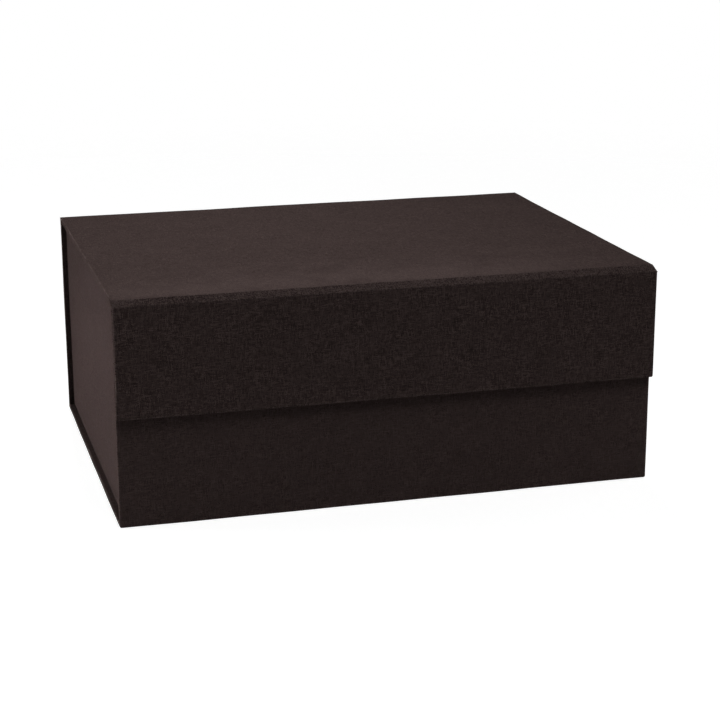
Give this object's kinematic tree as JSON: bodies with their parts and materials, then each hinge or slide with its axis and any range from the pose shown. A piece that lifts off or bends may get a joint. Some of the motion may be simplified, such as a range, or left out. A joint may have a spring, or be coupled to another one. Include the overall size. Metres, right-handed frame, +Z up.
{
  "type": "gift box",
  "caption": "Cloth-covered board gift box with a lid hinged at the back and a magnetic flap that hangs over the front wall",
  "frame": {"origin": "on the floor, under the middle of the whole closed box with its flap", "axes": "+X to the right across the box, -Y out of the front with the flap, +Z up"},
  "size_m": [0.24, 0.184, 0.099],
  "materials": {
    "cover_cloth": "dark brown linen-grain covering, low satin sheen",
    "greyboard": "raw grey-brown board, matte, fine fibres",
    "lining_paper": "smooth matte dark brown paper",
    "tape_film": "translucent double-sided tape",
    "magnet_nickel": "nickel plate, fine tumbled scratches",
    "plate_steel": "stamped zinc-plated steel"
  },
  "bodies": {
    "box": {"base_board": "greyboard", "base_cover": "cover_cloth", "base_lining": "lining_paper", "front_wall_board": "greyboard", "front_wall_cover": "cover_cloth", "front_wall_lining": "lining_paper", "back_wall_board": "greyboard", "back_wall_cover": "cover_cloth", "back_wall_lining": "lining_paper", "left_wall_board": "greyboard", "left_wall_cover": "cover_cloth", "left_wall_lining": "lining_paper", "right_wall_board": "greyboard", "right_wall_cover": "cover_cloth", "right_wall_lining": "lining_paper", "left_front_corner_tab": "cover_cloth", "left_back_corner_tab": "cover_cloth", "right_front_corner_tab": "cover_cloth", "right_back_corner_tab": "cover_cloth", "corner_tapes": "tape_film", "left_wall_foot_strip": "lining_paper", "right_wall_foot_strip": "lining_paper", "catch_plates": "plate_steel", "lid_hinge_cloth": "cover_cloth", "lid_hinge_lining": "lining_paper"},
    "lid": {"lid_board": "greyboard", "lid_cover": "cover_cloth", "lid_lining": "lining_paper", "flap_hinge_cloth": "cover_cloth", "flap_hinge_lining": "lining_paper"},
    "flap": {"flap_board": "greyboard", "flap_cover": "cover_cloth", "flap_lining": "lining_paper", "flap_magnets": "magnet_nickel"}
  },
  "joints": [
    {"name": "lid_hinge", "type": "hinge", "parent": "box", "child": "lid", "pos_m": [0, 0.092, 0.099], "axis": [-1, 0, 0], "range_deg": [0, 180], "deforming": ["lid_hinge_cloth", "lid_hinge_lining"]},
    {"name": "flap_hinge", "type": "hinge", "parent": "lid", "child": "flap", "pos_m": [0, -0.09115, 0.09815], "axis": [-1, 0, 0], "range_deg": [0, 90], "deforming": ["flap_hinge_cloth", "flap_hinge_lining"]}
  ]
}
